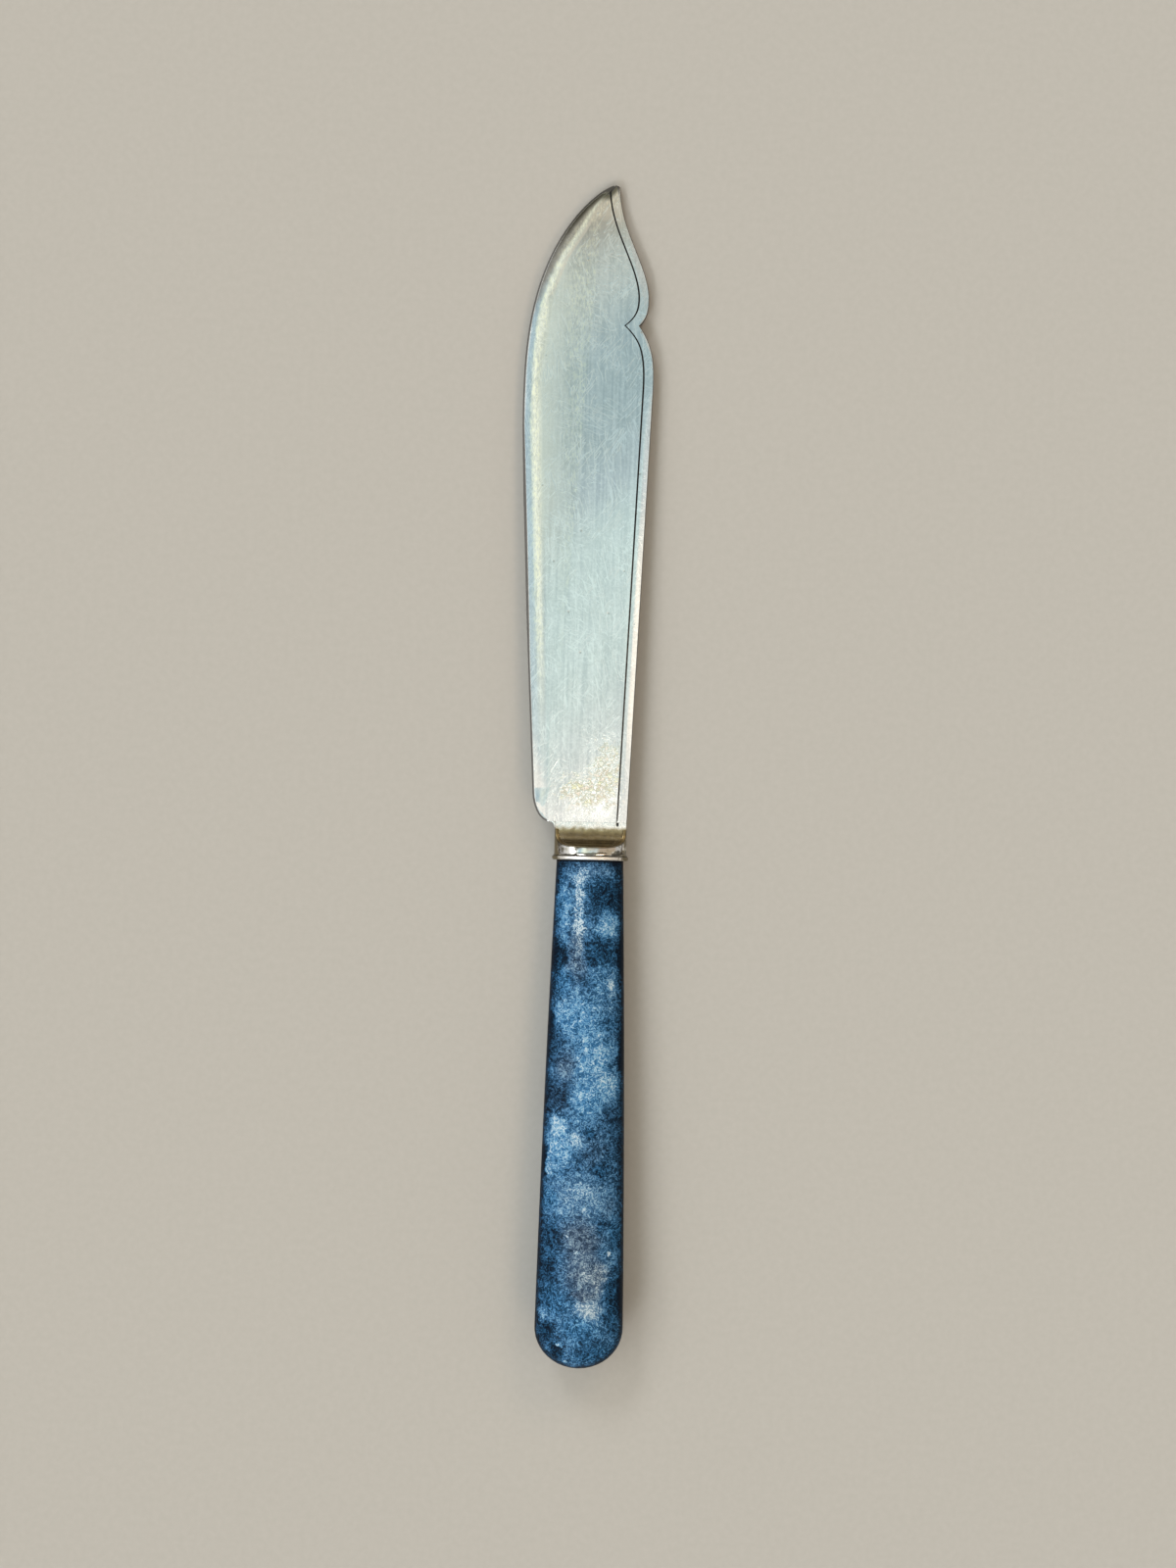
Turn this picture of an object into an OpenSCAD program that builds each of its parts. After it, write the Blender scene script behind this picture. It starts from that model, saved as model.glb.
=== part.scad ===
// Fish knife: a notched silver blade in a scooped bolster, with a collar and a solid handle.
// It lies on a table, engraved face up, on the lip of its collar and on its tip.
// Millimetres: X across the blade towards the back, Y from butt to tip, Z up.

/* [Blade] */
// Length from the bolster to the tip
blade_l = 110.7; // [106:0.1:120]
// Thickness of the plate
blade_t = 1.5; // [1.2:0.05:1.8]
// Cutting edge from the centre line, above the heel
heel_w = 10.3; // [9.8:0.1:11.5]
// Height of the rounded heel corner
heel_l = 5.8; // [3:0.1:7]
// Width of the rounded heel corner
heel_in = 2.95; // [2:0.05:3.2]
// Cutting edge from the centre line, at the belly
belly_w = 13.6; // [12.5:0.1:15]
// Belly from the bolster
belly_at = 70.4; // [60:0.1:78]
// Back from the centre line, where it begins to round
back_w = 8.9; // [8.2:0.1:10]
// Start of that round from the bolster
back_at = 72.4; // [64:0.1:76]
// Notch from the bolster
notch_at = 86.3; // [82:0.1:90]
// Notch from the centre line
notch_w = 6.3; // [5.5:0.1:7]
// Rise from the notch to the hump above it
hump_up = 4.8; // [4:0.1:6]
// Hump from the centre line
hump_w = 7.9; // [7.2:0.1:8.6]
// Tip from the centre line
tip_off = 1.9; // [1:0.1:3]
// Width of the blunt tip
tip_w = 1.1; // [1:0.05:1.4]
// Radius of the tip's corner at the back
tip_r = 0.6; // [0.4:0.05:0.7]
// Broken edge along the back
arris = 0.15; // [0.1:0.05:0.25]
// Width of the ground edge
bevel_w = 3.2; // [2:0.1:4]
// Thickness left at the cutting edge
edge_t = 0.4; // [0.3:0.05:0.7]

/* [Engraved line] */
// Distance from the back
line_in = 1.75; // [1.4:0.05:2.4]
// Distance from the notch, where the line has a point of its own
cusp_in = 2.5; // [2:0.1:3]
// Length of the line's bend on each side of that point
cusp_l = 4.5; // [3:0.1:6]
// Width of the cut
line_w = 0.3; // [0.2:0.02:0.5]
// Depth of the cut
line_d = 0.14; // [0.08:0.02:0.24]
// Start of the line below the tip
line_end = 1.1; // [0.9:0.1:4]
// Length of the line on the bolster
line_run = 0.6; // [0.4:0.1:1]

/* [Tongue] */
// Width of the blade's tongue
tongue_w = 9; // [7:0.1:10]
// Length of the tongue
tongue_l = 2.6; // [2:0.1:2.8]
// Thickness of the tongue
tongue_t = 1; // [0.8:0.05:1.1]

/* [Bolster] */
// Front of the bolster from the end of the collar
front_at = 6.6; // [6.4:0.1:8]
// Thickness of the bolster at its front
neck_t = 1.9; // [1.85:0.05:2.4]
// Flat strip in front of the scoop
neck_flat = 1.3; // [0.9:0.1:1.4]
// Radius of the hollow between the neck and the heel
choil_r = 1.1; // [0.6:0.1:1.1]

/* [Collar] */
// Width over the band
band_w = 12.5; // [11.8:0.1:13.5]
// Thickness over the band
band_t = 8; // [7.4:0.1:8.6]
// Radius of the band's narrow sides
side_r = 2.6; // [2.3:0.1:2.9]
// Wall
wall = 0.45; // [0.35:0.05:0.6]
// Distance that the lip stands out
lip_out = 0.35; // [0.25:0.05:0.5]
// Radius of the lip's rounded rim
lip_r = 0.4; // [0.3:0.05:0.5]
// Radius of the cove over the lip
cove_r = 0.8; // [0.6:0.05:1]

/* [Handle] */
// Length outside the collar
handle_l = 87.3; // [75:0.1:100]
// Greatest width
handle_w = 15.2; // [14:0.1:17]
// Greatest thickness
handle_t = 9.6; // [8.6:0.1:11]
// Length of the rounded butt
butt_l = 7; // [5:0.1:9]
// Bow of the sides, 0 for a straight taper
bow = 0.42; // [0:0.02:0.6]
// Length inside the collar
spigot_l = 1; // [0.8:0.1:1.4]

/* [Tang] */
// Radius at the bolster
tang_r = 1.6; // [1.3:0.05:1.8]
// Radius at the end
tang_end_r = 1; // [0.7:0.05:1.2]
// Length below the bolster
tang_l = 55; // [40:0.5:60]
// Depth soldered into the bolster
root_l = 2; // [1.5:0.1:2.2]
// Radius of the bore in the handle
bore_r = 2.2; // [2:0.05:2.6]
// Filler below the end of the tang
bore_spare = 3; // [1:0.5:6]

/* [Fit] */
// Clearance of the handle and the bolster inside the collar
fit = 0.05; // [0.02:0.01:0.1]

/* [Hidden] */
$fn = 96;

tip_y = front_at + blade_l;
scoop_y = front_at - neck_flat;
scoop_r = (band_t - neck_t) / 2;
lap = 2;
heel_steps = 10;
bevel_steps = 3;

// Distances along the blade, closer together at the notch, at the hump and at the point.
low_at = notch_at - 14;
stations = concat(
    [for (i = [0:heel_steps - 1]) heel_l * i / heel_steps],
    [for (i = [0:17]) heel_l + (low_at - heel_l) * i / 18],
    [for (i = [0:17]) low_at + (notch_at - low_at) * i / 18],
    [for (i = [0:36]) notch_at + (blade_l - notch_at) * (1 - cos(5 * i)) / 2]
);

// The back: a straight spine, a round into the notch, the hump and a hollow sweep to the tip.
function spine(s) = band_w / 2 + (back_w - band_w / 2) * s / back_at;
function low_back(s) =
    spine(s) - (spine(notch_at) - notch_w) * pow(max(s - back_at, 0) / (notch_at - back_at), 3.7);
function high_back(s) =
    let (top = notch_at + hump_up, fall = hump_w - tip_off - tip_w / 2)
    s < top
        ? hump_w - (hump_w - notch_w) * pow((top - s) / hump_up, 3)
        : hump_w - fall * (1 - cos(180 * pow((s - top) / (blade_l - top), 0.88))) / 2;
function tip_round(s) = let (d = max(s - blade_l + tip_r, 0)) tip_r - sqrt(max(tip_r * tip_r - d * d, 0));
function back(s) = s < notch_at ? low_back(s) : high_back(s) - tip_round(s);
function line_from_back(s) = line_in + (cusp_in - line_in) * pow(max(1 - abs(s - notch_at) / cusp_l, 0), 2);

// The cutting edge: a rounded heel, a long swell to the belly and a full curve to the tip.
function belly_edge(s) =
    s < belly_at
        ? belly_w - (belly_w - heel_w) * pow((belly_at - s) / (belly_at - heel_l), 1.22)
        : belly_w - (belly_w + tip_off - tip_w / 2)
            * (1 - pow(max(1 - pow((s - belly_at) / (blade_l - belly_at), 2.8), 0), 0.75));
function edge_pt(s) =
    s < heel_l
        ? [heel_in - heel_w - heel_in * sin(90 * s / heel_l), heel_l * (1 - cos(90 * s / heel_l))]
        : [-belly_edge(s), s];
function inward(s) =
    let (t = edge_pt(min(s + 0.01, blade_l)) - edge_pt(max(s - 0.01, 0)))
    s == 0 ? [1, 0] : [t.y, -t.x] / norm(t);

// One section of the blade: ground edge, engraved line, back with two broken edges, ground edge below.
function blade_ring(s) =
    let (
        p = edge_pt(s),
        n = inward(s),
        x = back(s),
        wide = x - p.x,
        w = min(bevel_w * min(1, 0.03 + s / heel_l), 0.36 * wide),
        drop = (blade_t - edge_t) / 2 * w / bevel_w,
        a = min(arris, 0.12 * wide),
        g = x - min(line_from_back(s), 0.55 * wide),
        h = min(line_w / 2, 0.05 * wide),
        d = s > 0 && s < blade_l - line_end ? line_d : 0,
        ground = [
            for (k = [0:bevel_steps])
                let (q = p + n * w * k / bevel_steps)
                [q.x, q.y, blade_t / 2 - drop * pow(1 - k / bevel_steps, 2)]
        ],
        line = [[g - h, s, blade_t / 2], [g, s, blade_t / 2 - d], [g + h, s, blade_t / 2]],
        edge = [
            [x - a, s, blade_t / 2],
            [x, s, blade_t / 2 - a],
            [x, s, a - blade_t / 2],
            [x - a, s, -blade_t / 2]
        ],
        under = [for (k = [bevel_steps:-1:0]) [ground[k].x, ground[k].y, -ground[k].z]]
    )
    [for (q = concat(ground, line, edge, under)) q + [0, front_at, 0]];

// An oval of four arcs: half width a, half thickness b and side radius r.
function face_r(a, b, r) = (pow(a - r, 2) + b * b - r * r) / (2 * (b - r));
function face_angle(a, b, r) = atan2(a - r, face_r(a, b, r) - b);
function arc(c, r, from, to, n) =
    [for (i = [0:n - 1]) let (t = from + (to - from) * i / n) c + r * [cos(t), sin(t)]];
function oval(a, b, r, n) =
    let (f = face_r(a, b, r), t = face_angle(a, b, r))
    concat(
        arc([0, b - f], f, 90 + t, 90 - t, n),
        arc([a - r, 0], r, 90 - t, t - 90, n),
        arc([0, f - b], f, t - 90, -90 - t, n),
        arc([r - a, 0], r, -90 - t, t - 270, n)
    );

// The handle fits the inside of the collar, widens down to the butt and ends in a round.
inset = wall + fit;
spigot_w = band_w / 2 - inset;
spigot_t = band_t / 2 - inset;
handle_side = (side_r - inset) / spigot_t;
taper_l = handle_l - butt_l;
handle_y = concat(
    [for (i = [0:10]) -taper_l - butt_l * cos(8 * i + 4)],
    [for (i = [0:16]) -taper_l * (1 - i / 16)],
    [spigot_l]
);
function swell(y) = let (s = min(max(-y, 0) / taper_l, 1)) s + bow * s * (1 - s);
function butt(y) = sqrt(1 - pow(max(-y - taper_l, 0) / butt_l, 2));
function handle_ring(y) =
    let (
        a = (spigot_w + (handle_w / 2 - spigot_w) * swell(y)) * butt(y),
        b = (spigot_t + (handle_t / 2 - spigot_t) * swell(y)) * butt(y)
    )
    [for (q = oval(a, b, b * handle_side, 10)) [q.x, y, q.y]];

// The table pose: the tilt that brings the lip of the collar and the tip down together.
lip_drop = (band_t - blade_t) / 2 + lip_out - lip_r;
rest_a = atan2(lip_drop, tip_y - lip_r) + asin(lip_r / norm([lip_drop, tip_y - lip_r]));
rest_z = tip_y * sin(rest_a) + blade_t / 2 * cos(rest_a);
mid_x = (max([for (s = stations) back(s)]) - belly_w) / 2;
mid_y = (tip_y - handle_l) / 2 * cos(rest_a);

module on_table() {
    translate([-mid_x, -mid_y, rest_z]) rotate([-rest_a, 0, 0]) children();
}

// Stands a shape that was drawn along Z along the knife.
module along() {
    rotate([-90, 0, 0]) children();
}

// Skins a row of sections that all have the same number of points.
module loft(rings) {
    m = len(rings[0]);
    n = len(rings);
    sides = [
        for (i = [0:n - 2], k = [0:m - 1])
            let (a = i * m + k, b = i * m + (k + 1) % m)
            each [[a, a + m, b + m], [a, b + m, b]]
    ];
    caps = [[for (k = [0:m - 1]) k], [for (k = [m - 1:-1:0]) (n - 1) * m + k]];
    polyhedron([for (r = rings) each r], concat(sides, caps), convexity = 6);
}

// The collar's oval, made of four turned shapes: its two narrow sides, and the two broad faces between them.
broad_r = face_r(band_w / 2, band_t / 2, side_r);
function join_x(out) =
    band_w / 2 - side_r + (side_r + out) * sin(face_angle(band_w / 2, band_t / 2, side_r)) - 0.1;

module oval_block(out, from, to) {
    for (s = [-1, 1])
        translate([s * (band_w / 2 - side_r), 0, from]) cylinder(r = side_r + out, h = to - from);
    intersection() {
        translate([0, band_t / 2 - broad_r, from]) cylinder(r = broad_r + out, h = to - from);
        translate([0, broad_r - band_t / 2, from]) cylinder(r = broad_r + out, h = to - from);
        translate([-join_x(out), -band_t, from]) cube([2 * join_x(out), 2 * band_t, to - from]);
    }
}

module collar_body() {
    for (s = [-1, 1]) translate([s * (band_w / 2 - side_r), 0]) rotate_extrude() collar_profile(side_r);
    intersection() {
        translate([0, band_t / 2 - broad_r]) rotate_extrude() collar_profile(broad_r);
        translate([0, broad_r - band_t / 2]) rotate_extrude() collar_profile(broad_r);
        translate([-join_x(0), -band_t, -lap]) cube([2 * join_x(0), 2 * band_t, scoop_y + 2 * lap]);
    }
}

// Half of a turned collar: a plain band on radius r, a cove and the rounded rim of the lip.
module collar_profile(r) {
    rim = [r + lip_out - lip_r, lip_r];
    cove = [r + cove_r, lip_r + sqrt(pow(lip_r + cove_r, 2) - pow(cove_r - lip_out + lip_r, 2))];
    difference() {
        union() {
            square([r, scoop_y]);
            translate(rim) circle(lip_r);
            polygon([[r / 2, 0], [rim.x, 0], rim, cove, [r / 2, cove.y]]);
        }
        translate(cove) circle(cove_r);
    }
}

// The hollow worked across each broad face, open towards the blade.
module scoops() {
    for (side = [0, 180]) rotate(side) {
        translate([-band_w, band_t / 2, scoop_y]) rotate([0, 90, 0])
            cylinder(r = scoop_r, h = 2 * band_w);
        translate([-band_w, neck_t / 2, scoop_y]) cube([2 * band_w, 2 * scoop_r, front_at]);
    }
}

// The neck widens in a hollow curve to meet the heel.
module choil() {
    r = min(choil_r, neck_flat);
    rotate([90, 0, 0]) translate([-band_w / 2, front_at, -blade_t / 2]) linear_extrude(blade_t) difference() {
        translate([-r, -r]) square([r + side_r / 2, r]);
        translate([-r, -r]) circle(r);
    }
}

module tang_shape(spare) {
    translate([0, 0, spigot_l]) cylinder(r = tang_r, h = root_l + spare);
    translate([0, 0, spigot_l - tang_l]) cylinder(r1 = tang_end_r, r2 = tang_r, h = tang_l);
}

// The blind bore of the handle, which the filler takes up round the tang.
module bore_shape(spare) {
    translate([0, 0, spigot_l - tang_l - bore_spare])
        cylinder(r = bore_r, h = tang_l + bore_spare + spare);
}

// The thin root of the blade, which the bolster's slot takes its size from.
module tongue() {
    translate([-tongue_w / 2, front_at - tongue_l, -tongue_t / 2])
        cube([tongue_w, tongue_l + lap, tongue_t]);
}

module blade() {
    on_table() color("Silver") union() {
        loft([for (s = stations) blade_ring(s)]);
        tongue();
    }
}

module bolster() {
    on_table() color("LightGray") difference() {
        along() difference() {
            union() {
                oval_block(-inset, spigot_l, scoop_y);
                oval_block(0, scoop_y, front_at);
                choil();
            }
            scoops();
            translate([0, 0, spigot_l - lap]) cylinder(r = tang_r, h = root_l + lap);
        }
        tongue();
        translate([band_w / 2 - line_in, front_at, neck_t / 2]) rotate([0, 45, 0])
            cube([line_w / sqrt(2), 2 * line_run, line_w / sqrt(2)], center = true);
    }
}

module ferrule() {
    on_table() along() color("Gainsboro") difference() {
        collar_body();
        oval_block(-wall, -lap, front_at + lap);
        scoops();
    }
}

module tang() {
    on_table() along() color("SlateGray") tang_shape(0);
}

module tang_cement() {
    on_table() along() color("Tan") difference() {
        bore_shape(0);
        tang_shape(lap);
    }
}

module handle() {
    on_table() color("SteelBlue") difference() {
        loft([for (y = handle_y) handle_ring(y)]);
        along() bore_shape(lap);
    }
}

blade();
bolster();
ferrule();
tang();
tang_cement();
handle();
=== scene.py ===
import math

import bpy
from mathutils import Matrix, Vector


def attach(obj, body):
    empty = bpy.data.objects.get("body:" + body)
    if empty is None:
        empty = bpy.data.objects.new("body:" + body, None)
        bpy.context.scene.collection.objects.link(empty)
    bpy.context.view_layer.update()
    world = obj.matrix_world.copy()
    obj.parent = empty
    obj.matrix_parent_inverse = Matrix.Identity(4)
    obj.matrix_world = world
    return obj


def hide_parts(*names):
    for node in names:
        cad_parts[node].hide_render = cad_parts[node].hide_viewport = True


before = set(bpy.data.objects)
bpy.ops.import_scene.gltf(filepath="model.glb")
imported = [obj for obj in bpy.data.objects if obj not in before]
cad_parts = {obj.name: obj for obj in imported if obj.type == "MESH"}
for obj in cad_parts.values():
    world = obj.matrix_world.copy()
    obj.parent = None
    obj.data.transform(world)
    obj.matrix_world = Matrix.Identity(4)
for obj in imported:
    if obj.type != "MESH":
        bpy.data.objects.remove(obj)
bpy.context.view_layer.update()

# Blade: a flat plate of silver with a ground edge on one side, a notched back and one engraved line.
# It is rolled, cut to its outline and ground by hand, then brushed lengthwise. Its root is a thin
# tongue that is soldered into the neck of the bolster.


def dressed_copy(node, name, flat_within, joined_within=2e-6):
    """A copy of a solid that can be finished: its triangles joined up, flat areas made one face each."""
    piece = bpy.data.objects.new(name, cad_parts[node].data.copy())
    bpy.context.scene.collection.objects.link(piece)
    piece.data.name = name
    piece.data.materials.clear()
    bpy.ops.object.select_all(action="DESELECT")
    piece.select_set(True)
    bpy.context.view_layer.objects.active = piece
    bpy.ops.mesh.customdata_custom_splitnormals_clear()
    bpy.ops.object.mode_set(mode="EDIT")
    bpy.ops.mesh.select_all(action="SELECT")
    bpy.ops.mesh.remove_doubles(threshold=joined_within)
    bpy.ops.mesh.dissolve_limited(angle_limit=math.radians(flat_within))
    bpy.ops.object.mode_set(mode="OBJECT")
    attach(piece, "root")
    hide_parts(node)
    return piece


def apply_modifier(piece, kind, **settings):
    bpy.context.view_layer.objects.active = piece
    made = piece.modifiers.new(kind.title(), kind)
    for key, value in settings.items():
        setattr(made, key, value)
    bpy.ops.object.modifier_apply(modifier=made.name)


def finish_named(name, piece):
    material = bpy.data.materials.new(name)
    material.use_nodes = True
    piece.data.materials.append(material)
    return material.node_tree, material.node_tree.nodes["Principled BSDF"]


def put(tree, kind, **given):
    """Adds a node. Small first letters are its settings, capitals are its sockets."""
    made = tree.nodes.new("ShaderNode" + kind)
    for key, value in given.items():
        if key[0].islower():
            setattr(made, key, value)
        elif isinstance(value, bpy.types.NodeSocket):
            tree.links.new(value, made.inputs[key.replace("_", " ")])
        else:
            made.inputs[key.replace("_", " ")].default_value = value
    return made


def reckon(tree, operation, *terms):
    made = tree.nodes.new("ShaderNodeMath")
    made.operation = operation
    for socket, term in zip(made.inputs, terms):
        if isinstance(term, bpy.types.NodeSocket):
            tree.links.new(term, socket)
        else:
            socket.default_value = term
    return made.outputs[0]


def times(tree, first, *others):
    for other in others:
        first = reckon(tree, "MULTIPLY", first, other)
    return first


def plus(tree, first, *others):
    for other in others:
        first = reckon(tree, "ADD", first, other)
    return first


def minus(tree, first, *others):
    for other in others:
        first = reckon(tree, "SUBTRACT", first, other)
    return first


def larger(tree, one, other):
    return reckon(tree, "MAXIMUM", one, other)


def either_way(tree, value):
    return reckon(tree, "ABSOLUTE", value)


def between(tree, value, low, high, bottom=0.0, top=1.0):
    """Rises smoothly from bottom to top while the value goes from low to high."""
    made = put(tree, "MapRange", interpolation_type="SMOOTHSTEP", Value=value, To_Min=bottom, To_Max=top)
    made.inputs["From Min"].default_value = low
    made.inputs["From Max"].default_value = high
    return made.outputs[0]


def laid_over(tree, share, under, over):
    """One colour over another, by a share."""
    made = tree.nodes.new("ShaderNodeMix")
    made.data_type = "RGBA"
    for at, term in ((0, share), (6, under), (7, over)):
        if isinstance(term, bpy.types.NodeSocket):
            tree.links.new(term, made.inputs[at])
        else:
            made.inputs[at].default_value = (*term, 1)
    return made.outputs[2]


def shades(tree, value, *stops):
    made = put(tree, "ValToRGB", Fac=value)
    while len(made.color_ramp.elements) < len(stops):
        made.color_ramp.elements.new(0.5)
    for element, (place, colour) in zip(made.color_ramp.elements, stops):
        element.position = place
        element.color = (*colour, 1)
    return made.outputs[0]


# The knife lies nose down, so patterns are laid out along its own axis, in millimetres: across from
# edge to back, lengthwise from the collar's rim to the tip, and up out of the engraved face.
KNIFE_AT = (0.0022915, -0.0149929, 0.0043604)
NOSE_DOWN = math.radians(1.764)
MILLIMETRE = 0.001


def along_knife(tree, turned=0.0, stretch=(1, 1, 1)):
    place = put(tree, "TexCoord").outputs["Object"]
    laid = put(tree, "Mapping", vector_type="TEXTURE", Vector=place)
    laid.inputs["Location"].default_value = KNIFE_AT
    laid.inputs["Rotation"].default_value = (-NOSE_DOWN, 0, 0)
    laid.inputs["Scale"].default_value = (MILLIMETRE, MILLIMETRE, MILLIMETRE)
    if not turned and stretch == (1, 1, 1):
        return laid.outputs[0]
    drawn = put(tree, "Mapping", vector_type="TEXTURE", Vector=laid.outputs[0])
    drawn.inputs["Rotation"].default_value = (0, 0, math.radians(turned))
    drawn.inputs["Scale"].default_value = stretch
    return drawn.outputs[0]


def grain(tree, where, scale, detail=2.0, roughness=0.5, distortion=0.0):
    return put(tree, "TexNoise", Vector=where, Scale=scale, Detail=detail, Roughness=roughness,
               Distortion=distortion).outputs[0]


def hair_scratches(tree, turned, length, apart, few):
    """Fine scratches that all run one way: thin crossings of a drawn-out noise, kept in a few patches."""
    drawn = along_knife(tree, turned, (apart, length, 3))
    crossing = either_way(tree, minus(tree, grain(tree, drawn, 1.0, 1.0, 0.5, 0.4), 0.5))
    line = between(tree, crossing, 0.0, 0.03, 1.0, 0.0)
    patch = between(tree, grain(tree, along_knife(tree, turned + 7), 0.16, 1.0), few, few + 0.1)
    return times(tree, line, patch)


def wear(tree):
    """The marks that all the silver has: brushing along the knife, soft clouds and scratches from use."""
    fine = grain(tree, along_knife(tree, 0, (0.4, 12.0, 1.0)), 1.0, 2.0, 0.55)
    broad = grain(tree, along_knife(tree, 0, (0.9, 22.0, 1.0)), 1.0, 2.0, 0.5)
    brushed = plus(tree, times(tree, fine, 0.6), times(tree, broad, 0.4))
    clouds = grain(tree, along_knife(tree), 0.22, 4.0, 0.6)
    scratched = larger(tree, hair_scratches(tree, 14, 6.5, 0.95, 0.44),
                       hair_scratches(tree, -36, 4.5, 0.8, 0.47))
    scratched = larger(tree, scratched, hair_scratches(tree, 66, 3.5, 0.8, 0.49))
    return brushed, clouds, scratched


def around(tree, across, lengthwise, x, y, wide, long):
    """Distance from a place on the knife, counted in half widths and half lengths."""
    sideways = times(tree, minus(tree, across, x), 1 / wide)
    along = times(tree, minus(tree, lengthwise, y), 1 / long)
    squares = plus(tree, times(tree, sideways, sideways), times(tree, along, along))
    return reckon(tree, "SQRT", squares)


def raised(tree, shader, height, strength=1.0, distance=MILLIMETRE):
    bump = put(tree, "Bump", Height=height, Strength=strength, Distance=distance)
    tree.links.new(bump.outputs[0], shader.inputs["Normal"])


blade = dressed_copy("blade", "blade_plate", flat_within=0.4)
SATIN_FACE, LINE_FACE = 0, 1
TIP_Y, NECK_Y = 0.10225, -0.0083
LINE_SIDE_X = -0.004
ARRIS_WIDTH, ARRIS_ANGLE, SMOOTH_TO = 0.00012, 38, 35
face_up = Vector((0, math.sin(NOSE_DOWN), math.cos(NOSE_DOWN)))
tilts = [math.degrees(face.normal.angle(face_up)) for face in blade.data.polygons]
walls = set()
for face, tilt in zip(blade.data.polygons, tilts):
    if 80 < tilt < 100 and face.center.y > NECK_Y + 0.0003:
        walls.update(face.vertices)
# The line's sloping sides are the only tilted faces on the back's half that touch no outer wall.
in_line = set()
for face, tilt in zip(blade.data.polygons, tilts):
    face.material_index = SATIN_FACE
    if 20 < tilt < 80 and face.center.x > LINE_SIDE_X and not walls.intersection(face.vertices):
        face.material_index = LINE_FACE
        in_line.update(face.vertices)
# The outer arrises are rounded by hand, apart from the point, the heel's corner and the hidden tongue.
bpy.ops.object.mode_set(mode="EDIT")
bpy.ops.mesh.select_mode(type="EDGE")
bpy.ops.mesh.select_all(action="DESELECT")
bpy.ops.mesh.edges_select_sharp(sharpness=math.radians(ARRIS_ANGLE))
bpy.ops.object.mode_set(mode="OBJECT")
corners = blade.data.vertices
for edge in blade.data.edges:
    one, other = (corners[v].co for v in edge.vertices)
    near_end = any(not NECK_Y + 0.0007 < p.y < TIP_Y - 0.0016 for p in (one, other))
    upright = (one - other).to_2d().length < 0.0002
    if near_end or upright or all(v in in_line for v in edge.vertices):
        edge.select = False
bpy.ops.object.mode_set(mode="EDIT")
bpy.ops.mesh.bevel(offset=ARRIS_WIDTH, segments=3, affect="EDGES", clamp_overlap=True)
bpy.ops.object.mode_set(mode="OBJECT")
bpy.ops.object.shade_smooth_by_angle(angle=math.radians(SMOOTH_TO))
apply_modifier(blade, "WEIGHTED_NORMAL", keep_sharp=True)


def note_distance(piece, name, on_this_side):
    """Keeps for each corner how many millimetres it lies from one side of the outline."""
    runs = []
    for face in piece.data.polygons:
        if abs(face.normal.dot(face_up)) < 0.17 and on_this_side(face.normal) and face.center.y > NECK_Y:
            ends = [piece.data.vertices[v].co.to_2d() for v in face.vertices]
            runs.append(max(((a, b) for a in ends for b in ends), key=lambda run: (run[0] - run[1]).length))
    kept = piece.data.attributes.new(name, "FLOAT", "POINT")
    for vertex in piece.data.vertices:
        spot = vertex.co.to_2d()
        nearest = 1.0
        for start, stop in runs:
            run = stop - start
            share = max(0.0, min(1.0, (spot - start).dot(run) / max(run.length_squared, 1e-12)))
            nearest = min(nearest, (start + run * share - spot).length)
        kept.data[vertex.index].value = nearest / MILLIMETRE


note_distance(blade, "from_edge", lambda normal: normal.x < -0.15)
note_distance(blade, "from_back", lambda normal: normal.x > -0.15)

PALE_SILVER, CLOUDED_SILVER = (0.83, 0.83, 0.82), (0.76, 0.765, 0.75)
DARK_BRUSHING, BRIGHT_BRUSHING = (0.60, 0.62, 0.63), (0.95, 0.95, 0.94)
DARK_SPECKS, BRIGHT_SPECKS = (0.56, 0.58, 0.58), (0.92, 0.92, 0.90)
TIP_TARNISH_AND_PAINTED_REFLECTION, PAINTED_SHEEN_BY_BAND = (0.74, 0.71, 0.65), (0.98, 0.97, 0.92)
GREY_REVERSE, REVERSE_UP = (0.36, 0.34, 0.30), -0.75
tree, shader = finish_named("satin_silver", blade)
knife = along_knife(tree)
across, lengthwise, up = put(tree, "SeparateXYZ", Vector=knife).outputs
brushed, clouds, scratched = wear(tree)
speckle = grain(tree, knife, 2.0, 2.0, 0.6, 0.6)
tone = laid_over(tree, between(tree, clouds, 0.36, 0.64), PALE_SILVER, CLOUDED_SILVER)
tone = laid_over(tree, between(tree, brushed, 0.54, 0.38, 0.0, 0.5), tone, DARK_BRUSHING)
tone = laid_over(tree, between(tree, brushed, 0.55, 0.66, 0.0, 0.5), tone, BRIGHT_BRUSHING)
tone = laid_over(tree, between(tree, speckle, 0.56, 0.36, 0.0, 0.25), tone, DARK_SPECKS)
tone = laid_over(tree, between(tree, speckle, 0.52, 0.68, 0.0, 0.35), tone, BRIGHT_SPECKS)
# Towards the tip the face is painted yellower and darker: partly tarnish, partly a painted reflection of
# the beige wall beyond the tip.
tone = laid_over(tree, between(tree, lengthwise, 104, 113), tone, TIP_TARNISH_AND_PAINTED_REFLECTION)
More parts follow.
